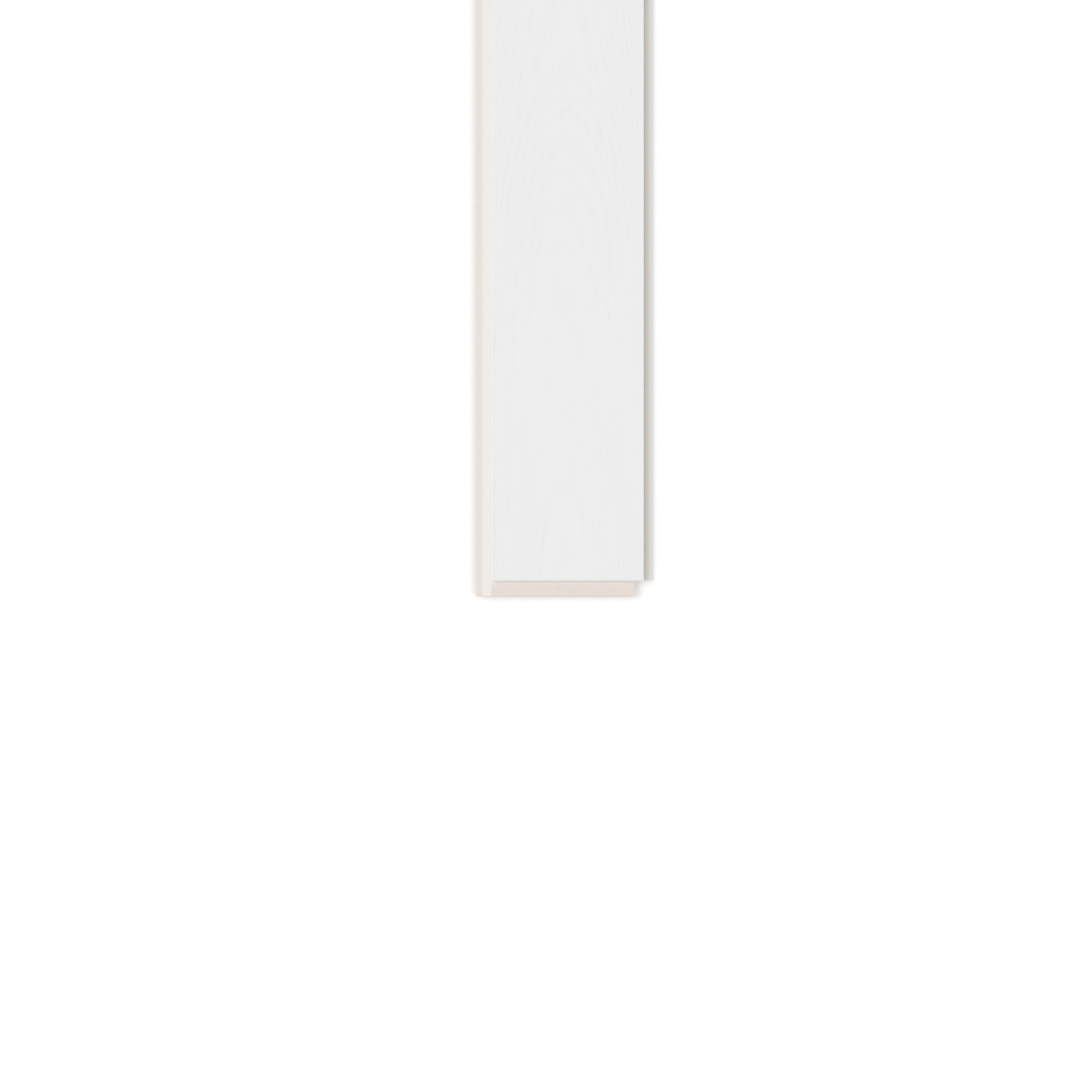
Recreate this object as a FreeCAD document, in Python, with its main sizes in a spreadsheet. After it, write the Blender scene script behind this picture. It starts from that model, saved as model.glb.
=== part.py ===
"""Tongue and groove wall board, matched on all four sides.

One solid lies on its back: X across the board, Y along it, Z up through the face.
The tongue is on the -X edge and the -Y end, the groove on the +X edge and the +Y end.
The origin is the middle of the underside of the bounding box. Lengths are millimetres.
"""

import FreeCAD
import Part
import Sketcher

import os

# Driving dimensions: cell alias, value, what it measures
DIMENSIONS = [
    ("face_length", 1300.0, "face of the board, end shoulder to end face"),
    ("cover_width", 154.0, "width that one laid board covers"),
    ("board_thickness", 12.0, "face to back"),
    ("strip_width", 9.0, "side tongue left in view between two laid boards, cove included"),
    ("engagement", 8.5, "side tongue held inside the neighbour's groove"),
    ("end_tongue_length", 15.0, "end tongue, from the face's end shoulder"),
    ("tongue_thickness", 4.2, "tongue, top to underside"),
    ("upper_lip_thickness", 3.9, "face to the top of the groove"),
    ("fit_clearance", 0.15, "tongue to groove, above and below"),
    ("tip_clearance", 0.5, "tongue tip to the bottom of the groove"),
    ("back_gap", 0.5, "gap left at the back of a closed joint"),
    ("tip_chamfer", 0.8, "lead-in at the tongue's tip"),
    ("lip_chamfer", 0.8, "lead-in at the tip of the lower lip"),
    ("cove_radius", 2.5, "cove in which the shoulder runs out into the side tongue"),
    ("shoulder_arris_radius", 0.8, "softened arris along the face above that cove"),
    ("lip_arris_radius", 0.7, "softened arris along the face above the groove"),
    ("end_arris_chamfer", 0.4, "softened arris of the face at both ends"),
]

# The sketches' origin: on the back, at the shoulders that carry the two tongues
ORIGIN = "0"

# Heights above the back
BACK = ORIGIN
FACE = "sheet.board_thickness"
GROOVE_TOP = "(sheet.board_thickness - sheet.upper_lip_thickness)"
GROOVE_FLOOR = f"({GROOVE_TOP} - sheet.tongue_thickness - 2 * sheet.fit_clearance)"
TONGUE_TOP = f"({GROOVE_TOP} - sheet.fit_clearance)"
TONGUE_UNDERSIDE = f"({TONGUE_TOP} - sheet.tongue_thickness)"

# Places across the board, from the shoulder that carries the side tongue
SHOULDER = ORIGIN
SIDE_TONGUE_TIP = "(-sheet.strip_width - sheet.engagement)"
UPPER_LIP = "(sheet.cover_width - sheet.strip_width)"
SIDE_GROOVE_BOTTOM = f"({UPPER_LIP} - sheet.engagement - sheet.tip_clearance)"
LOWER_LIP = f"({UPPER_LIP} + sheet.strip_width - sheet.back_gap)"

# The cove takes at most this share of the shoulder that the arris leaves it
COVE_SHARE = 0.9
COVE = f"min(sheet.cove_radius; {COVE_SHARE} * ({FACE} - {TONGUE_TOP} - sheet.shoulder_arris_radius))"

# Places along the board, from the shoulder that carries the end tongue
END_SHOULDER = ORIGIN
END_TONGUE_TIP = "(-sheet.end_tongue_length)"
END_FACE = "sheet.face_length"
END_GROOVE_BOTTOM = f"({END_FACE} - sheet.end_tongue_length - sheet.tip_clearance)"

TOLERANCE = 1e-4


def make_sheet(doc):
    """Spreadsheet of the driving dimensions, one aliased number a row."""
    sheet = doc.addObject("Spreadsheet::Sheet", "sheet")
    for row, (alias, value, meaning) in enumerate(DIMENSIONS, start=1):
        sheet.set(f"A{row}", meaning)
        sheet.set(f"B{row}", str(value))
        sheet.setAlias(f"B{row}", alias)
    doc.recompute()


def new_sketch(body, name, plane_role):
    """Empty sketch on one of the body's own origin planes."""
    plane = next(f for f in body.Origin.OriginFeatures if f.Role == plane_role)
    sketch = body.newObject("Sketcher::SketchObject", name)
    sketch.AttachmentSupport = (plane, [""])
    sketch.MapMode = "FlatFace"
    return sketch


def value_of(sketch, expression):
    """Number that an expression on the sheet comes to."""
    return float(sketch.evalExpression(expression))


def add_outline(sketch, corners):
    """Closed outline of straight sides through named corners, driven by the sheet.

    Each corner has an expression for its place across the sketch and one for its height.
    A side whose two ends share an expression is held level or upright, and every other
    place is dimensioned from the sketch's origin.
    """
    names = list(corners)
    first = sketch.GeometryCount
    points = [FreeCAD.Vector(*(value_of(sketch, e) for e in corners[n]), 0) for n in names]
    following = points[1:] + points[:1]
    for start, end in zip(points, following):
        sketch.addGeometry(Part.LineSegment(start, end))
    for i in range(len(names)):
        following_line = first + (i + 1) % len(names)
        sketch.addConstraint(Sketcher.Constraint("Coincident", first + i, 2, following_line, 1))
    for axis, held, distance in ((0, "Vertical", "DistanceX"), (1, "Horizontal", "DistanceY")):
        for i, name in enumerate(names):
            expression = corners[name][axis]
            if i and corners[names[i - 1]][axis] == expression:
                sketch.addConstraint(Sketcher.Constraint(held, first + i - 1))
            else:
                tie_to_origin(sketch, first + i, distance, name, expression)


def tie_to_origin(sketch, line, distance, corner, expression):
    """Distance from the sketch's origin to the start of a line, bound to an expression."""
    value = value_of(sketch, expression)
    if expression == ORIGIN:
        axis = -2 if distance == "DistanceX" else -1
        sketch.addConstraint(Sketcher.Constraint("PointOnObject", line, 1, axis))
        return
    name = f"{corner}_{distance[-1].lower()}"
    ends = (-1, 1, line, 1) if value > 0 else (line, 1, -1, 1)
    sketch.addConstraint(Sketcher.Constraint(distance, *ends, abs(value)))
    sketch.renameConstraint(sketch.ConstraintCount - 1, name)
    sketch.setExpression(f"Constraints.{name}", expression if value > 0 else f"-1 * {expression}")


def section_corners():
    """Milled section of the long edges, anticlockwise from the back under the tongue."""
    tip = "sheet.tip_chamfer"
    return {
        "back_under_tongue": (SHOULDER, BACK),
        "lip_foot": (LOWER_LIP, BACK),
        "lip_nose": (LOWER_LIP, f"({GROOVE_FLOOR} - sheet.lip_chamfer)"),
        "lip_lead": (f"({LOWER_LIP} - sheet.lip_chamfer)", GROOVE_FLOOR),
        "groove_floor": (SIDE_GROOVE_BOTTOM, GROOVE_FLOOR),
        "groove_top": (SIDE_GROOVE_BOTTOM, GROOVE_TOP),
        "upper_lip": (UPPER_LIP, GROOVE_TOP),
        "upper_lip_arris": (UPPER_LIP, FACE),
        "shoulder_arris": (SHOULDER, FACE),
        "tongue_root": (SHOULDER, TONGUE_TOP),
        "tongue_lead": (f"({SIDE_TONGUE_TIP} + {tip})", TONGUE_TOP),
        "tongue_nose_top": (SIDE_TONGUE_TIP, f"({TONGUE_TOP} - {tip})"),
        "tongue_nose_foot": (SIDE_TONGUE_TIP, f"({TONGUE_UNDERSIDE} + {tip})"),
        "tongue_lead_under": (f"({SIDE_TONGUE_TIP} + {tip})", TONGUE_UNDERSIDE),
        "tongue_root_under": (SHOULDER, TONGUE_UNDERSIDE),
    }


def above_end_tongue():
    """Waste above the end tongue, with the softened arris of the face."""
    return {
        "waste_top": (END_TONGUE_TIP, FACE),
        "face_arris": ("sheet.end_arris_chamfer", FACE),
        "end_wall_top": (END_SHOULDER, f"({FACE} - sheet.end_arris_chamfer)"),
        "end_tongue_root": (END_SHOULDER, TONGUE_TOP),
        "end_tongue_lead": (f"({END_TONGUE_TIP} + sheet.tip_chamfer)", TONGUE_TOP),
        "end_tongue_nose": (END_TONGUE_TIP, f"({TONGUE_TOP} - sheet.tip_chamfer)"),
    }


def below_end_tongue():
    """Waste below the end tongue, back to a shoulder that stays open in a closed joint."""
    return {
        "waste_foot": (END_TONGUE_TIP, BACK),
        "under_nose": (END_TONGUE_TIP, f"({TONGUE_UNDERSIDE} + sheet.tip_chamfer)"),
        "under_lead": (f"({END_TONGUE_TIP} + sheet.tip_chamfer)", TONGUE_UNDERSIDE),
        "under_root": ("sheet.back_gap", TONGUE_UNDERSIDE),
        "back_arris": ("sheet.back_gap", BACK),
    }


def end_groove_slot():
    """Slot that takes the next board's end tongue."""
    return {
        "slot_floor": (END_GROOVE_BOTTOM, GROOVE_FLOOR),
        "slot_mouth_foot": (END_FACE, GROOVE_FLOOR),
        "slot_mouth_top": (END_FACE, GROOVE_TOP),
        "slot_top": (END_GROOVE_BOTTOM, GROOVE_TOP),
    }


def end_face_arris():
    """Softened arris of the face above the end groove."""
    return {
        "arris_on_face": (f"({END_FACE} - sheet.end_arris_chamfer)", FACE),
        "arris_on_end": (END_FACE, f"({FACE} - sheet.end_arris_chamfer)"),
        "arris_waste": (END_FACE, FACE),
    }


def edge_along(feature, body, across, height):
    """Name of the edge that runs along the board at a place across it and a height."""
    sketch = body.Group[0]
    where = (value_of(sketch, across), value_of(sketch, height))
    for number, edge in enumerate(feature.Shape.Edges, start=1):
        corners = {(v.X, v.Z) for v in edge.Vertexes}
        if all(abs(x - where[0]) < TOLERANCE and abs(z - where[1]) < TOLERANCE for x, z in corners):
            return f"Edge{number}"
    raise RuntimeError(f"no edge along the board at {across}, {height}")


def round_corner(doc, body, name, across, height, radius):
    """Rounds one long corner of the section, an arris or an inner one."""
    base = body.Tip
    fillet = body.newObject("PartDesign::Fillet", name)
    fillet.Base = (base, [edge_along(base, body, across, height)])
    fillet.setExpression("Radius", radius)
    doc.recompute()


def mill_across(doc, body, name, outlines):
    """Cuts outlines of waste right across the board, and makes sure that each cut took some."""
    before = body.Shape.Volume
    sketch = new_sketch(body, f"{name}_waste", "YZ_Plane")
    for outline in outlines:
        add_outline(sketch, outline)
    doc.recompute()
    pocket = body.newObject("PartDesign::Pocket", name)
    pocket.Profile = sketch
    pocket.Type = "ThroughAll"
    pocket.SideType = "Symmetric"
    doc.recompute()
    if body.Shape.Volume > before - TOLERANCE:
        raise RuntimeError(f"{name} cut nothing")


def make_board(doc):
    """The board: long edges as one section, then the two ends milled across it."""
    body = doc.addObject("PartDesign::Body", "board")
    body.Label = "board"
    section = new_sketch(body, "section", "XZ_Plane")
    add_outline(section, section_corners())
    doc.recompute()

    length = body.newObject("PartDesign::Pad", "moulded_length")
    length.Profile = section
    length.SideType = "Two sides"
    length.setExpression("Length", "sheet.end_tongue_length")
    length.setExpression("Length2", END_FACE)
    doc.recompute()

    round_corner(doc, body, "lip_arris", UPPER_LIP, FACE, "sheet.lip_arris_radius")
    round_corner(doc, body, "shoulder_arris", SHOULDER, FACE, "sheet.shoulder_arris_radius")
    round_corner(doc, body, "cove", SHOULDER, TONGUE_TOP, COVE)
    mill_across(doc, body, "end_tongue", [above_end_tongue(), below_end_tongue()])
    mill_across(doc, body, "end_groove", [end_groove_slot(), end_face_arris()])

    body.setExpression("Placement.Base.x", f"-0.5 * ({SIDE_TONGUE_TIP} + {LOWER_LIP})")
    body.setExpression("Placement.Base.y", f"-0.5 * ({END_TONGUE_TIP} + {END_FACE})")
    doc.recompute()
    return body


def check(doc, body):
    """Stops on a failed object or a board that is not one sound solid."""
    for item in doc.Objects:
        if "Invalid" in item.State or "Error" in item.State:
            raise RuntimeError(f"{item.Name} failed: {item.State}")
    shape = body.Shape
    if shape.isNull() or not shape.isValid() or len(shape.Solids) != 1:
        raise RuntimeError(f"{body.Label} is not one sound solid")


def main():
    doc = FreeCAD.newDocument("tongue_and_groove_board")
    make_sheet(doc)
    board = make_board(doc)
    check(doc, board)
    os.makedirs("parts", exist_ok=True)
    board.Shape.exportStep(f"parts/{board.Label}.step")


main()
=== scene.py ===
"""Tongue and groove wall board with a white coat and pressed grain, lying face up on a white floor."""

import math
from collections import namedtuple

import bmesh
import bpy
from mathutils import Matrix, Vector


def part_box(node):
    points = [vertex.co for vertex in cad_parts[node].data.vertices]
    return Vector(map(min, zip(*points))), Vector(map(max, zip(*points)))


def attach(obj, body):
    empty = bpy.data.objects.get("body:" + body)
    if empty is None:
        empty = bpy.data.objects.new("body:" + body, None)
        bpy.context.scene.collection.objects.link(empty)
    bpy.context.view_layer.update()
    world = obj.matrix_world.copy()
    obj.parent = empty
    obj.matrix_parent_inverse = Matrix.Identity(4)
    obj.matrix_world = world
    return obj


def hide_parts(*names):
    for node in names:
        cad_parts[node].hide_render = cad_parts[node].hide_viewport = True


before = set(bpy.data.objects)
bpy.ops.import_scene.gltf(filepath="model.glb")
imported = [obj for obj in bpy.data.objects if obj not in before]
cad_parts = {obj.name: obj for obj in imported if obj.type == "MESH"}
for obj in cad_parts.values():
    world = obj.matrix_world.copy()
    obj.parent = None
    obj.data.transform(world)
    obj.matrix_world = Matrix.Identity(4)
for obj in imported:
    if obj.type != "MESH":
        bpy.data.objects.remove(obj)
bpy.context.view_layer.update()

bl_info = {
    "name": "Tongue and Groove Board",
    "version": (1, 0, 0),
    "blender": (4, 5, 0),
    "location": "3D View > Sidebar > Board",
    "description": "Coats a milled wall board and sets it on a white floor",
    "category": "Object",
}

MM = 0.001
NODE = "board"
BODY = "root"

# Corners closer than this are one, or lie at one level
WELD = 0.005 * MM
LEVEL = 0.0005 * MM

# Corners this near to the board's outermost edge are at the tip of its side tongue
TIP = 2 * MM

# Faces within this angle are one flat, and edges above this angle stay crisp
FLAT = math.radians(0.5)
CREASE = math.radians(38)

# The photograph's frame and where the board's edges lie in it, in pixels
PHOTO_SIDE = 1080.0
FACE_START_PX = 494.7
UPPER_LIP_PX = 643.9
FACE_END_PX = 581.0


# The milled section, read from the frame

Section = namedtuple("Section", "face_low face_high tongue_top cove_foot upper_lip end_shoulder")


def read_section():
    """Places of the milled edges, from the corners of the board in the frame."""
    corners = [v.co.copy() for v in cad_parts[NODE].data.vertices]
    low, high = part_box(NODE)
    face = [c for c in corners if high.z - c.z < LEVEL]
    tongue_tip = [c for c in corners if c.x - low.x < TIP]
    tongue_top = max(c.z for c in tongue_tip)
    above_tongue = [c for c in corners if c.z > tongue_top + WELD]
    on_tongue = [c for c in corners if abs(c.z - tongue_top) < LEVEL]
    return Section(
        face_low=Vector((min(c.x for c in face), min(c.y for c in face), high.z)),
        face_high=Vector((max(c.x for c in face), max(c.y for c in face), high.z)),
        tongue_top=tongue_top,
        cove_foot=max(c.x for c in on_tongue if c.y > 0),
        upper_lip=max(c.x for c in above_tongue),
        end_shoulder=min(c.y for c in above_tongue),
    )


SECTION = read_section()


# Settings


class BoardLook(bpy.types.PropertyGroup):
    """Finish and grain of the board."""

    coat_colour: bpy.props.FloatVectorProperty(
        name="Coat Colour",
        description="White coat of the face",
        subtype="COLOR",
        default=(0.850, 0.850, 0.850),
        min=0,
        max=1,
    )
    # Darker coat that the grain's own tone, painted shade in the pores and painted shade on the cove
    # turn the face towards
    grain_and_shade_colour: bpy.props.FloatVectorProperty(
        name="Pore Colour",
        description="Coat at the bottom of a pore",
        subtype="COLOR",
        default=(0.772, 0.772, 0.772),
        min=0,
        max=1,
    )
    strip_colour: bpy.props.FloatVectorProperty(
        name="Strip Colour",
        description="Cream coat in the joint",
        subtype="COLOR",
        default=(0.850, 0.820, 0.790),
        min=0,
        max=1,
    )
    core_colour: bpy.props.FloatVectorProperty(
        name="Core Colour",
        description="Bare fibreboard",
        subtype="COLOR",
        default=(0.640, 0.490, 0.330),
        min=0,
        max=1,
    )
    dense_core_colour: bpy.props.FloatVectorProperty(
        name="Dense Core Colour",
        description="Fibreboard where it is pressed densest",
        subtype="COLOR",
        default=(0.430, 0.300, 0.180),
        min=0,
        max=1,
    )
    coat_roughness: bpy.props.FloatProperty(
        name="Coat Roughness",
        description="Roughness of the satin coat",
        subtype="FACTOR",
        default=0.42,
        min=0,
        max=1,
    )
    relief_depth: bpy.props.FloatProperty(
        name="Relief Depth",
        description="How deep the grain is pressed",
        unit="LENGTH",
        default=0.08 * MM,
        min=0,
    )
    edge_fade: bpy.props.FloatProperty(
        name="Edge Fade",
        description="Margin of the face in which the relief dies away",
        unit="LENGTH",
        default=2.0 * MM,
        min=0,
    )
    ring_spacing: bpy.props.FloatProperty(
        name="Ring Spacing",
        description="Width of a growth ring",
        unit="LENGTH",
        default=3.2 * MM,
        min=1.0 * MM,
    )
    pith_offset: bpy.props.FloatProperty(
        name="Pith Offset",
        description="Pith from the middle of the face, towards the groove",
        unit="LENGTH",
        default=-4.0 * MM,
    )
    pith_depth: bpy.props.FloatProperty(
        name="Pith Depth",
        description="Pith below the face at the tongued end",
        unit="LENGTH",
        default=70.0 * MM,
    )
    arch_slope: bpy.props.FloatProperty(
        name="Arch Slope",
        description="How fast the pith sinks along the board",
        default=0.035,
        min=0,
    )
    arch_place: bpy.props.FloatProperty(
        name="Arch Place",
        description="A group of arches, from the tongued end",
        unit="LENGTH",
        default=437.0 * MM,
    )
    arch_repeat: bpy.props.FloatProperty(
        name="Arch Repeat",
        description="From one group of arches to the next",
        unit="LENGTH",
        default=520.0 * MM,
        min=50.0 * MM,
    )
    arch_rise: bpy.props.FloatProperty(
        name="Arch Rise",
        description="How far the pith sinks before and after the middle of a group",
        unit="LENGTH",
        default=9.0 * MM,
        min=0,
    )
    arch_reach: bpy.props.FloatProperty(
        name="Arch Reach",
        description="How far a group spreads before and after its middle",
        unit="LENGTH",
        default=70.0 * MM,
        min=1.0 * MM,
    )
    pore_width: bpy.props.FloatProperty(
        name="Pore Width",
        description="From one row of pores to the next",
        unit="LENGTH",
        default=0.9 * MM,
        min=0.1 * MM,
    )
    pore_length: bpy.props.FloatProperty(
        name="Pore Length",
        description="Length of a row of pores",
        unit="LENGTH",
        default=22.0 * MM,
        min=1.0 * MM,
    )
    grain_seed: bpy.props.IntProperty(
        name="Grain Seed",
        description="Chooses another plank of the same kind",
        default=4,
        min=0,
    )
    columns: bpy.props.IntProperty(
        name="Columns",
        description="Cells of the pressed face, across the board",
        default=236,
        min=8,
    )
    rows: bpy.props.IntProperty(
        name="Rows",
        description="Cells of the pressed face, along the board",
        default=400,
        min=8,
    )


class StageLook(bpy.types.PropertyGroup):
    """Floor, light and camera."""

    lens: bpy.props.FloatProperty(
        name="Lens",
        description="Focal length of the camera",
        unit="CAMERA",
        default=85.0,
        min=20,
        max=200,
    )
    sky_strength: bpy.props.FloatProperty(
        name="Sky Strength",
        description="Even light from all round",
        default=0.67,
        min=0,
    )
    key_strength: bpy.props.FloatProperty(
        name="Key Strength",
        description="Soft light from the tongued edge's side",
        default=1.0,
        min=0,
    )
    fill_strength: bpy.props.FloatProperty(
        name="Fill Strength",
        description="Soft light from the grooved edge's side",
        default=0.40,
        min=0,
    )
    floor_colour: bpy.props.FloatVectorProperty(
        name="Floor Colour",
        description="Colour of the floor",
        subtype="COLOR",
        default=(0.80, 0.80, 0.80),
        min=0,
        max=1,
    )
    floor_glow: bpy.props.FloatProperty(
        name="Floor Glow",
        description="What lifts the lit floor to white where it is seen",
        default=0.25,
        min=0,
    )
    floor_side: bpy.props.FloatProperty(
        name="Floor Side",
        description="Width of the floor",
        unit="LENGTH",
        default=24.0,
        min=2,
    )


# Node trees written as expressions

# A Mix node's sockets for colours, by number because its names repeat
MIX_SHARE = 0
MIX_FIRST = 6
MIX_SECOND = 7
MIX_RESULT = 2


class Value:
    """A number in a node tree. Arithmetic on it adds Math nodes."""

    def __init__(self, nodes, socket):
        self.nodes = nodes
        self.socket = socket

    def __add__(self, other):
        return self.nodes.math("ADD", self, other)

    def __radd__(self, other):
        return self.nodes.math("ADD", other, self)

    def __sub__(self, other):
        return self.nodes.math("SUBTRACT", self, other)

    def __rsub__(self, other):
        return self.nodes.math("SUBTRACT", other, self)

    def __mul__(self, other):
        return self.nodes.math("MULTIPLY", self, other)

    def __rmul__(self, other):
        return self.nodes.math("MULTIPLY", other, self)

    def __truediv__(self, other):
        return self.nodes.math("DIVIDE", self, other)

    def __rtruediv__(self, other):
        return self.nodes.math("DIVIDE", other, self)

    def __neg__(self):
        return self.nodes.math("MULTIPLY", self, -1.0)

    def __abs__(self):
        return self.nodes.math("ABSOLUTE", self)


class Nodes:
    """Adds nodes to one tree, of a material or of Geometry Nodes."""

    def __init__(self, tree):
        self.tree = tree

    def add(self, kind, settings=None, sockets=None):
        """One node: its settings first, then its sockets by name or number, as values or links."""
        node = self.tree.nodes.new(kind)
        for name, setting in (settings or {}).items():
            setattr(node, name, setting)
        for key, given in (sockets or {}).items():
            if isinstance(given, Value):
                self.tree.links.new(given.socket, node.inputs[key])
            else:
                node.inputs[key].default_value = given
        return node

    def out(self, node, key=0):
        """One output of a node, for use in expressions."""
        return Value(self, node.outputs[key])

    def math(self, operation, *operands):
        """A number worked out by one Math node."""
        node = self.add("ShaderNodeMath", {"operation": operation}, dict(enumerate(operands)))
        return self.out(node)

    def ramp(self, value, start, end, low=0.0, high=1.0):
        """Eased passage from low to high while value goes from start to end."""
        node = self.add(
            "ShaderNodeMapRange",
            {"interpolation_type": "SMOOTHSTEP"},
            {"Value": value, "From Min": start, "From Max": end, "To Min": low, "To Max": high},
        )
        return self.out(node)

    def band(self, value, edges):
        """One between two inner edges, easing to zero at two outer ones."""
        start, full, yields, end = edges
        return self.ramp(value, start, full) * self.ramp(value, yields, end, 1.0, 0.0)

    def vector(self, x, y, z=0.0):
        """Three numbers as one vector."""
        return self.out(self.add("ShaderNodeCombineXYZ", None, {0: x, 1: y, 2: z}))

    def split(self, vector):
        """The three numbers of a vector."""
        node = self.add("ShaderNodeSeparateXYZ", None, {0: vector})
        return [self.out(node, axis) for axis in range(3)]

    def noise(self, x, y, z=0.0, detail=2.0, roughness=0.5):
        """Unevenness from 0 to 1 about one half, in cells about one unit wide."""
        node = self.add(
            "ShaderNodeTexNoise",
            {"noise_dimensions": "3D"},
            {"Vector": self.vector(x, y, z), "Scale": 1.0, "Detail": detail, "Roughness": roughness},
        )
        return self.out(node)

    def mix_colour(self, share, first, second):
        """The first colour at a share of 0, the second at a share of 1."""
        node = self.add(
            "ShaderNodeMix",
            {"data_type": "RGBA"},
            {MIX_SHARE: share, MIX_FIRST: first, MIX_SECOND: second},
        )
        return self.out(node, MIX_RESULT)


# The grain pressed into the face

# The settings that shape it
GRAIN_SETTINGS = (
    "ring_spacing",
    "pith_offset",
    "pith_depth",
    "arch_slope",
    "arch_place",
    "arch_repeat",
    "arch_rise",
    "arch_reach",
    "pore_width",
    "pore_length",
    "grain_seed",
)

# From one plank to the next, through the noise that shapes them
SEED_STEP = 1.37

# How the rings stray: lengths of the waves across and along the board, and how far they carry the rings
Waves = namedtuple("Waves", "across along reach")
WANDER = Waves(900 * MM, 520 * MM, 14 * MM)
WARP = Waves(55 * MM, 210 * MM, 16 * MM)
HEAVE = Waves(80 * MM, 110 * MM, 11 * MM)

# Rings come wider and narrower: the distance over which they change, and by how many rings
UNEVEN_RUN = 8 * MM
UNEVEN_RINGS = 1.8

# Early wood in a ring: where it starts, is full, begins to give way, and ends, as shares of the ring
EARLY = (0.0, 0.12, 0.30, 0.66)

# Pores and fibres follow the rings, straightened by this share of their distance from the pith
STRAIGHTEN = 0.40

# Their rows change over this distance across the board
APART = 12 * MM

# Pores: the noise at which they begin and are full, and how many late wood has beside early wood
PORE_EDGES = (0.53, 0.66)
LATE_PORES = 0.15

# Fibres
FIBRE_WIDTH = 1.3 * MM
FIBRE_LENGTH = 90 * MM

# How busy the grain is over the pith, and what its outer parts and the arches add to that
CALM = 0.28
OUTER_BUSY = 0.26
OUTER_START = 8 * MM
OUTER_END = 42 * MM
ARCH_BUSY = 0.54
ARCH_SPREAD = 4.0

Grain = namedtuple("Grain", "early pores fibre")


def stray(nodes, x, y, waves, seed):
    """How far slow waves carry the rings at a place on the face."""
    return waves.reach * (nodes.noise(x / waves.across, y / waves.along, seed) - 0.5)


def pressed_grain(nodes, x, y, size):
    """Grain of a flat sawn plank, each part from 0 to 1: early wood, pores and fibre.

    x and y are metres from the middle of the tongued end of the face. The rings lie round a pith
    that sinks along the plank in steps, so they show as groups of arches that rise along it.
    """
    seed = SEED_STEP * size["grain_seed"]
    across = x - size["pith_offset"] + stray(nodes, x, y, WANDER, seed) + stray(nodes, x, y, WARP, seed)
    groups = (y - size["arch_place"]) / size["arch_repeat"] + 0.5
    group = nodes.math("FLOOR", groups)
    from_group = (groups - group - 0.5) * size["arch_repeat"]
    steps = 2.0 * group + nodes.math("TANH", from_group / size["arch_reach"])
    sunk = size["arch_slope"] * y + size["arch_rise"] * steps
    depth = size["pith_depth"] + sunk + stray(nodes, x, y, HEAVE, seed)
    radius = nodes.math("SQRT", across * across + depth * depth)

    uneven = nodes.noise(radius / UNEVEN_RUN, seed, detail=1.0) - 0.5
    ring = nodes.math("FRACT", radius / size["ring_spacing"] + UNEVEN_RINGS * uneven)
    early = nodes.band(ring, EARLY)

    from_pith = abs(across)
    flow = radius + STRAIGHTEN * from_pith
    side = across / APART
    outer = nodes.ramp(from_pith, OUTER_START, OUTER_END)
    near_arch = nodes.ramp(abs(from_group), 0.0, ARCH_SPREAD * size["arch_reach"], 1.0, 0.0)
    busy = CALM + OUTER_BUSY * outer + ARCH_BUSY * near_arch
    pore_across = flow / size["pore_width"]
    pore_along = y / size["pore_length"]
    strokes = nodes.noise(pore_across, pore_along, side, detail=1.5, roughness=0.6)
    pores = nodes.ramp(strokes, *PORE_EDGES) * (LATE_PORES + (1.0 - LATE_PORES) * early) * busy
    fibre = 0.5 + busy * (nodes.noise(flow / FIBRE_WIDTH, y / FIBRE_LENGTH, side + seed) - 0.5)
    return Grain(busy * early, pores, fibre)


def face_place(nodes, position):
    """Metres across and along the face from the middle of its tongued end, and below the face."""
    x, y, z = nodes.split(position)
    middle = (SECTION.face_low.x + SECTION.face_high.x) / 2
    return x - middle, y - SECTION.end_shoulder, SECTION.face_high.z - z


# Finishes

# What turns the coat towards its darker colour: a mean shade, painted shade in the pores, the other
# parts of the grain, a slow mottle
MEAN_SHADE = 0.16
PORE_PAINTED_SHADE = 0.30
EARLY_SHADE = 0.08
FIBRE_SHADE = 0.36
MOTTLE_SHADE = 0.20
MOTTLE_WIDTH = 40 * MM
MOTTLE_LENGTH = 160 * MM

# What the pores and the mottle add to the coat's roughness
PORE_ROUGHNESS = 0.10
MOTTLE_ROUGHNESS = 0.08

# The coat is white down to the first depth below the face, and cream from the second
WHITE_DOWN_TO = 3.8 * MM
CREAM_FROM = 4.05 * MM

# Painted shade on the steep of the cove, darkening the concave edge where shade falls: the depths at
# which it starts, is full, fades and ends
COVE_SHADE_DEPTHS = (0.1 * MM, 0.6 * MM, 1.6 * MM, 3.0 * MM)
COVE_PAINTED_SHADE = 1.2

# Fine relief of the coat: its depth, the size of its orange peel, and the share of pores and peel in it
COAT_RELIEF = 0.016 * MM
PEEL_SIZE = 1.2 * MM
PORE_RELIEF = 0.85
PEEL_RELIEF = 0.15

# Fibreboard: its flat flecks, its clouds, and the lines that the cutters leave along it
FLECK_SIZE = 2.0 * MM
FLECK_HEIGHT = 1.0 * MM
CLOUD_SIZE = 30 * MM
CUTTER_LINE = 0.5 * MM
CUTTER_LENGTH = 100 * MM

# Its shade: what each of these adds, what densely packed fibre adds, and the shade that it starts from
FLECK_SHADE = 1.4
CLOUD_SHADE = 0.5
CUTTER_SHADE = 0.5
DENSE_SHADE = 0.42
BASE_SHADE = 0.30

# How rough it is where nothing covers it, what its relief adds to that, and how deep the relief is
BARE_ROUGHNESS = 0.86
RELIEF_ROUGHNESS = 0.1
BARE_RELIEF = 0.05 * MM

# Where the pressing has packed the fibres, as a share of the way from mid thickness to a face
DENSE_START = 0.62
DENSE_END = 0.98

# What a thin coat covers past an edge: from a first share at the start to a last share at the end
Cover = namedtuple("Cover", "start end first last")
SIDE_COVER = Cover(6.4 * MM, 11.0 * MM, 1.0, 0.78)
END_COVER = Cover(0.5 * MM, 7.0 * MM, 0.95, 0.72)
LIP_COVER = Cover(-1.5 * MM, 1.0 * MM, 0.0, 0.98)

# Its border is ragged: the size of the shreds, how far they reach, and what they add or take away
RAGGED_WIDTH = 1.6 * MM
RAGGED_LENGTH = 7.0 * MM
RAGGED_EDGE = 2.4 * MM
RAGGED_COVER = 0.25

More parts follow.
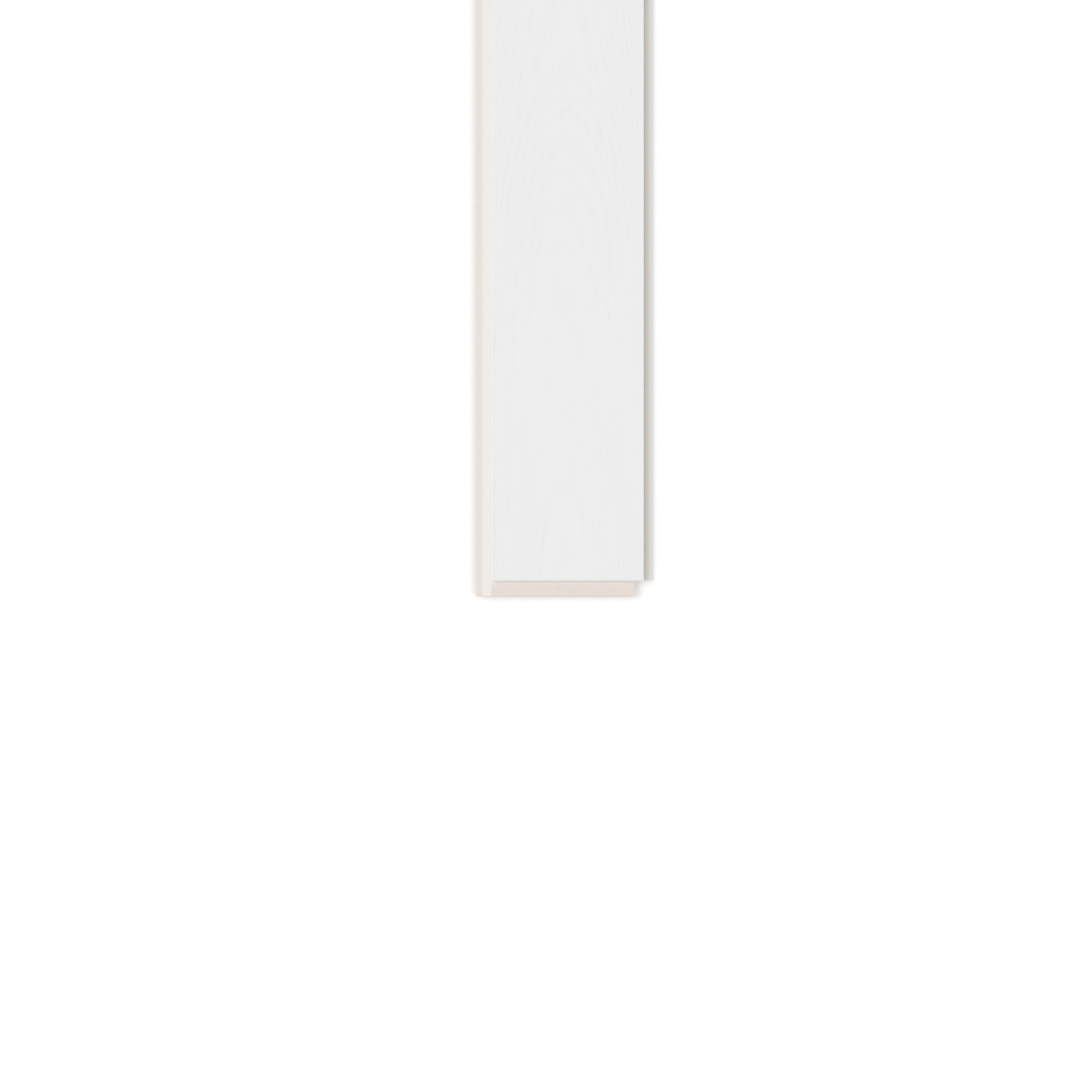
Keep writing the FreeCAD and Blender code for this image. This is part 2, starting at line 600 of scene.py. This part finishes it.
# How rough the coat is where it covers best, and how deep the fibreboard's relief still shows in it
COVERED_ROUGHNESS = 0.52
COVERED_RELIEF = 0.03 * MM


def new_material(name):
    """A material with a plain shader, and the tools to build on it."""
    material = bpy.data.materials.new(name)
    material.use_nodes = True
    shader = material.node_tree.nodes["Principled BSDF"]
    return material, Nodes(material.node_tree), shader


def object_position(nodes):
    """The place of a point in the board's own frame."""
    return nodes.out(nodes.add("ShaderNodeTexCoord"), "Object")


def set_surface(nodes, shader, colour, roughness, height, relief):
    """Feeds a shader its colour, its roughness and a fine relief, in metres for each unit of height."""
    bump = nodes.add("ShaderNodeBump", None, {"Strength": 1.0, "Distance": relief, "Height": height})
    for key, value in (("Base Color", colour), ("Roughness", roughness), ("Normal", nodes.out(bump))):
        nodes.tree.links.new(value.socket, shader.inputs[key])


def colour4(colour):
    """A setting's colour with the alpha that a socket asks for."""
    return (*colour, 1.0)


def white_coat(look):
    """Satin white coat of the face and its edges, cream where it thins towards the joint, with painted
    shade on the cove and in the pores.
    """
    material, nodes, shader = new_material("white_coat")
    across, along, below = face_place(nodes, object_position(nodes))
    grain = pressed_grain(nodes, across, along, {name: getattr(look, name) for name in GRAIN_SETTINGS})
    mottle = nodes.noise(across / MOTTLE_WIDTH, along / MOTTLE_LENGTH) - 0.5
    # Painted shade on the steep of the cove, where its concave edge lies in shade
    cove_shade = nodes.band(below, COVE_SHADE_DEPTHS)
    # Painted shade in the pores darkens the coat where the relief sinks; early wood, fibre and mottle
    # are the grain's own tone
    shade = MEAN_SHADE + PORE_PAINTED_SHADE * grain.pores + EARLY_SHADE * grain.early + COVE_PAINTED_SHADE * cove_shade
    shade = shade + FIBRE_SHADE * (grain.fibre - 0.5) + MOTTLE_SHADE * mottle
    white = nodes.mix_colour(shade, colour4(look.coat_colour), colour4(look.grain_and_shade_colour))
    thin = nodes.ramp(below, WHITE_DOWN_TO, CREAM_FROM)
    colour = nodes.mix_colour(thin, white, colour4(look.strip_colour))
    roughness = look.coat_roughness + PORE_ROUGHNESS * grain.pores + MOTTLE_ROUGHNESS * mottle
    peel = nodes.noise(across / PEEL_SIZE, along / PEEL_SIZE, detail=1.0)
    height = PEEL_RELIEF * peel - PORE_RELIEF * grain.pores
    set_surface(nodes, shader, colour, roughness, height, COAT_RELIEF)
    return material


def fibreboard(nodes, position, look):
    """Colour and fine relief of pressed fibre: flecked, lined by the cutters, denser near both faces."""
    x, y, z = nodes.split(position)
    flecks = nodes.noise(x / FLECK_SIZE, y / FLECK_SIZE, z / FLECK_HEIGHT, detail=3.0, roughness=0.65)
    fleck = flecks - 0.5
    cloud = nodes.noise(x / CLOUD_SIZE, y / CLOUD_SIZE, z / CLOUD_SIZE) - 0.5
    lines = nodes.noise(x / CUTTER_LINE, y / CUTTER_LENGTH, z / CUTTER_LINE, detail=1.0) - 0.5
    middle = SECTION.face_high.z / 2
    dense = nodes.ramp(abs(z - middle) / middle, DENSE_START, DENSE_END)
    shade = FLECK_SHADE * fleck + CLOUD_SHADE * cloud + CUTTER_SHADE * lines
    shade = shade + DENSE_SHADE * dense + BASE_SHADE
    colour = nodes.mix_colour(shade, colour4(look.core_colour), colour4(look.dense_core_colour))
    return colour, fleck + lines


def bare_fibreboard(look):
    """Milled fibreboard with nothing on it: grooves, ends, tongue undersides and the back."""
    material, nodes, shader = new_material("bare_fibreboard")
    colour, height = fibreboard(nodes, object_position(nodes), look)
    roughness = BARE_ROUGHNESS + RELIEF_ROUGHNESS * height
    set_surface(nodes, shader, colour, roughness, height, BARE_RELIEF)
    return material


def covered(nodes, past_edge, cover):
    """Share of fibreboard that a thin coat covers at a distance past an edge."""
    return nodes.ramp(past_edge, cover.start, cover.end, cover.first, cover.last)


def thin_coat(look):
    """Cream coat on the strip that stays in view, giving way to fibreboard where a joint hides it."""
    material, nodes, shader = new_material("thin_coat")
    position = object_position(nodes)
    x, y, z = nodes.split(position)
    bare, height = fibreboard(nodes, position, look)
    ragged = nodes.noise(x / RAGGED_WIDTH, y / RAGGED_LENGTH, detail=3.0, roughness=0.6) - 0.5
    past_cove = SECTION.cove_foot - x
    past_end = SECTION.end_shoulder - y
    past_lip = x - SECTION.upper_lip
    side = covered(nodes, past_cove + RAGGED_EDGE * ragged, SIDE_COVER)
    end = covered(nodes, past_end + RAGGED_EDGE * ragged, END_COVER)
    lip = covered(nodes, past_lip + RAGGED_EDGE * ragged, LIP_COVER)
    on_tongue = nodes.math("GREATER_THAN", z, SECTION.face_high.z / 2)
    on_side = nodes.math("GREATER_THAN", past_cove, 0.0)
    tongue = on_side * side + (1.0 - on_side) * end
    share = on_tongue * tongue + (1.0 - on_tongue) * lip + RAGGED_COVER * ragged
    cover = nodes.math("MINIMUM", share, 1.0)
    colour = nodes.mix_colour(cover, bare, colour4(look.strip_colour))
    roughness = BARE_ROUGHNESS - (BARE_ROUGHNESS - COVERED_ROUGHNESS) * cover
    set_surface(nodes, shader, colour, roughness, height, COVERED_RELIEF)
    return material


FINISHES = (white_coat, thin_coat, bare_fibreboard)
COATED, THINLY_COATED, BARE = range(len(FINISHES))


# The board

# What the face's tree takes: the settings that it shares with the board, and what the section gives
FACE_INPUTS = {
    "face_width": "Float",
    "face_length": "Float",
    "face_middle": "Vector",
    "columns": "Int",
    "rows": "Int",
    "relief_depth": "Float",
    "edge_fade": "Float",
    "coat": "Material",
    **dict.fromkeys(GRAIN_SETTINGS, "Float"),
}

# How much each part of the grain counts in the depth of the relief
PORE_DEPTH = 0.55
EARLY_DEPTH = 0.25
FIBRE_DEPTH = 0.20

# A face looks along the board, or up, where its normal points that way by more than these shares
LOOKS_ALONG = 0.9
LOOKS_UP = 0.5

# The flat map of the board, under the name that the export looks for
MAP_NAME = "OFBake"
X, Y, Z = range(3)

# Its bands, one for each side: the axes across and along it, and where it starts and ends on the map
Band = namedtuple("Band", "across along start end")
BANDS = {
    "face": Band(X, Y, 0.00, 0.50),
    "back": Band(X, Y, 0.50, 0.64),
    "groove_floor": Band(X, Y, 0.64, 0.78),
    "groove_roof": Band(X, Y, 0.78, 0.88),
    "tongued_edge": Band(Z, Y, 0.88, 0.92),
    "grooved_edge": Band(Z, Y, 0.92, 0.96),
    "tongued_end": Band(Z, X, 0.96, 0.98),
    "grooved_end": Band(Z, X, 0.98, 1.00),
}
BAND_MARGIN = 0.003


def label(name):
    """A setting's name as it shows on a node."""
    return name.replace("_", " ").title()


def finish_of(face):
    """Which finish a face of the board carries."""
    above_tongue = face.calc_center_median().z > SECTION.tongue_top + WELD
    square_end = abs(face.normal.y) > LOOKS_ALONG
    if above_tongue and face.normal.z > -LOOKS_UP and not square_end:
        return COATED
    if face.normal.z > LOOKS_UP:
        return THINLY_COATED
    return BARE


def open_shell(look):
    """The board as milled, without its face, its edges there divided to meet the pressed face."""
    shell = bmesh.new()
    shell.from_mesh(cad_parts[NODE].data)
    bmesh.ops.remove_doubles(shell, verts=shell.verts, dist=WELD)
    bmesh.ops.dissolve_limit(shell, angle_limit=FLAT, verts=shell.verts, edges=shell.edges)
    for face in shell.faces:
        face.material_index = finish_of(face)
    top = max(shell.faces, key=lambda face: face.calc_center_median().z)
    if len(top.edges) != 4:
        raise RuntimeError("the board's face is not a plain rectangle")
    long_edges = [e for e in top.edges if abs(e.verts[0].co.y - e.verts[1].co.y) > WELD]
    short_edges = [e for e in top.edges if e not in long_edges]
    bmesh.ops.delete(shell, geom=[top], context="FACES_ONLY")
    bmesh.ops.subdivide_edges(shell, edges=long_edges, cuts=look.rows - 1, use_single_edge=True)
    bmesh.ops.subdivide_edges(shell, edges=short_edges, cuts=look.columns - 1, use_single_edge=True)
    mesh = bpy.data.meshes.new("milled_board")
    shell.to_mesh(mesh)
    shell.free()
    return mesh


def relief_offset(nodes, taken):
    """How far a point of the face goes down: the grain's depth, dying away towards the face's edges."""
    position = nodes.out(nodes.add("GeometryNodeInputPosition"))
    across, along, _ = face_place(nodes, position)
    grain = pressed_grain(nodes, across, along, taken)
    x, y, _ = nodes.split(position)
    middle_x, middle_y, _ = nodes.split(taken["face_middle"])
    to_side = 0.5 * taken["face_width"] - abs(x - middle_x)
    to_end = 0.5 * taken["face_length"] - abs(y - middle_y)
    fade = nodes.ramp(nodes.math("MINIMUM", to_side, to_end), 0.0, taken["edge_fade"])
    pressed = PORE_DEPTH * grain.pores + EARLY_DEPTH * grain.early + FIBRE_DEPTH * grain.fibre
    return nodes.vector(0.0, 0.0, -(taken["relief_depth"] * fade * pressed))


def pressed_face_tree():
    """Geometry Nodes: a fine grid in the face's place, pressed by the grain and welded to the board."""
    tree = bpy.data.node_groups.new("pressed_face", "GeometryNodeTree")
    nodes = Nodes(tree)
    tree.interface.new_socket("Geometry", in_out="OUTPUT", socket_type="NodeSocketGeometry")
    tree.interface.new_socket("Geometry", in_out="INPUT", socket_type="NodeSocketGeometry")
    for name, kind in FACE_INPUTS.items():
        tree.interface.new_socket(label(name), in_out="INPUT", socket_type=f"NodeSocket{kind}")
    given = nodes.add("NodeGroupInput")
    taken = {name: nodes.out(given, label(name)) for name in FACE_INPUTS}

    grid = nodes.add(
        "GeometryNodeMeshGrid",
        None,
        {
            "Size X": taken["face_width"],
            "Size Y": taken["face_length"],
            "Vertices X": taken["columns"] + 1,
            "Vertices Y": taken["rows"] + 1,
        },
    )
    placed = nodes.add(
        "GeometryNodeTransform",
        None,
        {"Geometry": nodes.out(grid), "Translation": taken["face_middle"]},
    )
    pressed = nodes.add(
        "GeometryNodeSetPosition",
        None,
        {"Geometry": nodes.out(placed), "Offset": relief_offset(nodes, taken)},
    )
    marked = nodes.add(
        "GeometryNodeStoreNamedAttribute",
        {"data_type": "BOOLEAN", "domain": "FACE"},
        {"Geometry": nodes.out(pressed), "Name": "pressed", "Value": True},
    )
    joined = nodes.add("GeometryNodeJoinGeometry")
    for part in (nodes.out(marked), nodes.out(given, "Geometry")):
        tree.links.new(part.socket, joined.inputs[0])
    welded = nodes.add(
        "GeometryNodeMergeByDistance",
        None,
        {"Geometry": nodes.out(joined), "Distance": WELD},
    )
    real = nodes.add("GeometryNodeRealizeInstances", None, {"Geometry": nodes.out(welded)})
    on_face = nodes.add(
        "GeometryNodeInputNamedAttribute",
        {"data_type": "BOOLEAN"},
        {"Name": "pressed"},
    )
    coated = nodes.add(
        "GeometryNodeSetMaterial",
        None,
        {"Geometry": nodes.out(real), "Selection": nodes.out(on_face), "Material": taken["coat"]},
    )
    nodes.add("NodeGroupOutput", None, {"Geometry": nodes.out(coated)})
    return tree


def set_inputs(modifier, values):
    """Gives a Geometry Nodes modifier its inputs, found by name and set by identifier."""
    named = {label(name): value for name, value in values.items()}
    for item in modifier.node_group.interface.items_tree:
        if item.in_out == "INPUT" and item.name in named:
            modifier[item.identifier] = named[item.name]


def bake_modifiers(piece):
    """Turns a piece's modifiers into plain mesh."""
    evaluated = piece.evaluated_get(bpy.context.evaluated_depsgraph_get())
    mesh = bpy.data.meshes.new_from_object(evaluated)
    piece.modifiers.clear()
    piece.data = mesh


def require_closed(mesh):
    """Stops if a mesh has an open or crowded edge."""
    check = bmesh.new()
    check.from_mesh(mesh)
    loose = sum(not edge.is_manifold for edge in check.edges)
    check.free()
    if loose:
        raise RuntimeError(f"{loose} edges of {mesh.name} are not closed")


def side_of(face):
    """Which side of the board a face of its mesh is on."""
    normal = face.normal
    facing = max((X, Y, Z), key=lambda axis: abs(normal[axis]))
    if facing == X:
        return "grooved_edge" if normal.x > 0 else "tongued_edge"
    if facing == Y:
        return "grooved_end" if normal.y > 0 else "tongued_end"
    upper_half = face.center.z > SECTION.face_high.z / 2
    if normal.z > 0:
        return "face" if upper_half else "groove_floor"
    return "groove_roof" if upper_half else "back"


def between(start, end, share):
    """A place on the map between two borders, clear of both by the margin."""
    return start + BAND_MARGIN + share * (end - start - 2 * BAND_MARGIN)


def lay_flat(mesh):
    """Gives the board's mesh a flat map, with each side seen square on in its own band."""
    low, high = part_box(NODE)
    size = high - low
    flat = mesh.uv_layers.new(name=MAP_NAME)
    for face in mesh.polygons:
        band = BANDS[side_of(face)]
        for corner in face.loop_indices:
            place = mesh.vertices[mesh.loops[corner].vertex_index].co - low
            across = between(band.start, band.end, place[band.across] / size[band.across])
            along = between(0.0, 1.0, place[band.along] / size[band.along])
            flat.uv[corner].vector = (across, along)


class BOARD_OT_coat(bpy.types.Operator):
    """Puts the coat and the pressed grain on the milled board"""

    bl_idname = "board.coat"
    bl_label = "Coat Board"

    def execute(self, context):
        look = context.scene.board_look
        finishes = [make(look) for make in FINISHES]
        board = bpy.data.objects.new("coated_board", open_shell(look))
        context.scene.collection.objects.link(board)
        for finish in finishes:
            board.data.materials.append(finish)
        modifier = board.modifiers.new("pressed_face", "NODES")
        modifier.node_group = pressed_face_tree()
        size = SECTION.face_high - SECTION.face_low
        middle = (SECTION.face_high + SECTION.face_low) / 2
        values = {name: getattr(look, name) for name in FACE_INPUTS if hasattr(look, name)}
        values.update(face_width=size.x, face_length=size.y, face_middle=middle, coat=finishes[COATED])
        values.update(grain_seed=float(look.grain_seed))
        set_inputs(modifier, values)
        bake_modifiers(board)
        require_closed(board.data)
        lay_flat(board.data)
        board.data.shade_smooth()
        board.data.set_sharp_from_angle(angle=CREASE)
        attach(board, BODY)
        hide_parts(NODE)
        return {"FINISHED"}


# The stage

# Where the two lamps stand, and how wide they look from the board
KEY_SIDE = (-2.4, 0.5, 2.6)
FILL_SIDE = (2.0, -1.2, 3.0)
SOFT = math.radians(34)

# The board beds this far into the floor, so that its back shows clear of it from below
BED = 0.05 * MM

SENSOR_WIDTH = 36.0
BLACK = (0.0, 0.0, 0.0, 1.0)
WHITE = (1.0, 1.0, 1.0, 1.0)


def seen_directly(nodes):
    """One where a ray comes from the camera, a mirror or glass, and zero where it carries light."""
    path = nodes.add("ShaderNodeLightPath")
    seen = nodes.out(path, "Is Camera Ray")
    for kind in ("Is Glossy Ray", "Is Transmission Ray"):
        seen = nodes.math("MAXIMUM", seen, nodes.out(path, kind))
    return seen


def white_floor(stage):
    """Pale floor that shows white where it is lit and keeps the board's shadow."""
    material, nodes, shader = new_material("white_floor")
    shader.inputs["Base Color"].default_value = colour4(stage.floor_colour)
    shader.inputs["Roughness"].default_value = 1.0
    shader.inputs["Specular IOR Level"].default_value = 0.0
    shader.inputs["Emission Strength"].default_value = stage.floor_glow
    glow = nodes.mix_colour(seen_directly(nodes), BLACK, WHITE)
    nodes.tree.links.new(glow.socket, shader.inputs["Emission Color"])
    return material


def make_floor(stage, collection):
    """One square of floor under the board."""
    half = stage.floor_side / 2
    mesh = bpy.data.meshes.new("floor")
    corners = [(-half, -half, BED), (half, -half, BED), (half, half, BED), (-half, half, BED)]
    mesh.from_pydata(corners, [], [(0, 1, 2, 3)])
    mesh.materials.append(white_floor(stage))
    floor = bpy.data.objects.new("floor", mesh)
    collection.objects.link(floor)


def make_sky(stage, scene):
    """Even white surround: a plain light level for the board, and white where it is seen."""
    world = bpy.data.worlds.new("sky")
    world.use_nodes = True
    nodes = Nodes(world.node_tree)
    background = world.node_tree.nodes["Background"]
    background.inputs["Color"].default_value = WHITE
    strength = nodes.math("MAXIMUM", seen_directly(nodes), stage.sky_strength)
    nodes.tree.links.new(strength.socket, background.inputs["Strength"])
    scene.world = world


def make_soft_light(name, side, strength, collection):
    """Wide, even lamp far off to one side, so the whole floor is lit alike."""
    lamp = bpy.data.lights.new(name, "SUN")
    lamp.energy = strength
    lamp.angle = SOFT
    light = bpy.data.objects.new(name, lamp)
    light.location = side
    light.rotation_euler = (-Vector(side)).to_track_quat("-Z", "Y").to_euler()
    collection.objects.link(light)


def make_camera(stage, scene):
    """Camera straight above the photograph's middle, at the photograph's scale on the face."""
    metres_per_px = (SECTION.upper_lip - SECTION.face_low.x) / (UPPER_LIP_PX - FACE_START_PX)
    middle_px = PHOTO_SIDE / 2
    lens = bpy.data.cameras.new("camera")
    lens.lens = stage.lens
    lens.sensor_width = SENSOR_WIDTH
    away = PHOTO_SIDE * metres_per_px * stage.lens / SENSOR_WIDTH
    camera = bpy.data.objects.new("camera", lens)
    camera.location = (
        SECTION.face_low.x + (middle_px - FACE_START_PX) * metres_per_px,
        SECTION.end_shoulder + (FACE_END_PX - middle_px) * metres_per_px,
        SECTION.face_high.z + away,
    )
    scene.collection.objects.link(camera)
    scene.camera = camera


class BOARD_OT_stage(bpy.types.Operator):
    """Sets the floor, the light and the camera"""

    bl_idname = "board.stage"
    bl_label = "Set Stage"

    def execute(self, context):
        scene = context.scene
        stage = scene.stage_look
        make_floor(stage, scene.collection)
        make_sky(stage, scene)
        make_soft_light("key", KEY_SIDE, stage.key_strength, scene.collection)
        make_soft_light("fill", FILL_SIDE, stage.fill_strength, scene.collection)
        make_camera(stage, scene)
        scene.view_settings.view_transform = "Standard"
        return {"FINISHED"}


class BOARD_PT_panel(bpy.types.Panel):
    """The board's settings and its two steps"""

    bl_idname = "BOARD_PT_panel"
    bl_label = "Tongue and Groove Board"
    bl_space_type = "VIEW_3D"
    bl_region_type = "UI"
    bl_category = "Board"

    def draw(self, context):
        for group, operator in (("board_look", BOARD_OT_coat), ("stage_look", BOARD_OT_stage)):
            settings = getattr(context.scene, group)
            box = self.layout.box()
            for name in settings.__annotations__:
                box.prop(settings, name)
            box.operator(operator.bl_idname)


CLASSES = (BoardLook, StageLook, BOARD_OT_coat, BOARD_OT_stage, BOARD_PT_panel)


def register():
    """Adds the classes and the two groups of settings."""
    for kind in CLASSES:
        bpy.utils.register_class(kind)
    bpy.types.Scene.board_look = bpy.props.PointerProperty(type=BoardLook)
    bpy.types.Scene.stage_look = bpy.props.PointerProperty(type=StageLook)


def unregister():
    """Takes them out again, in the opposite order."""
    del bpy.types.Scene.stage_look
    del bpy.types.Scene.board_look
    for kind in reversed(CLASSES):
        bpy.utils.unregister_class(kind)


def main():
    """Builds the board and its stage."""
    register()
    bpy.ops.board.coat()
    bpy.ops.board.stage()


if __name__ == "__main__":
    main()
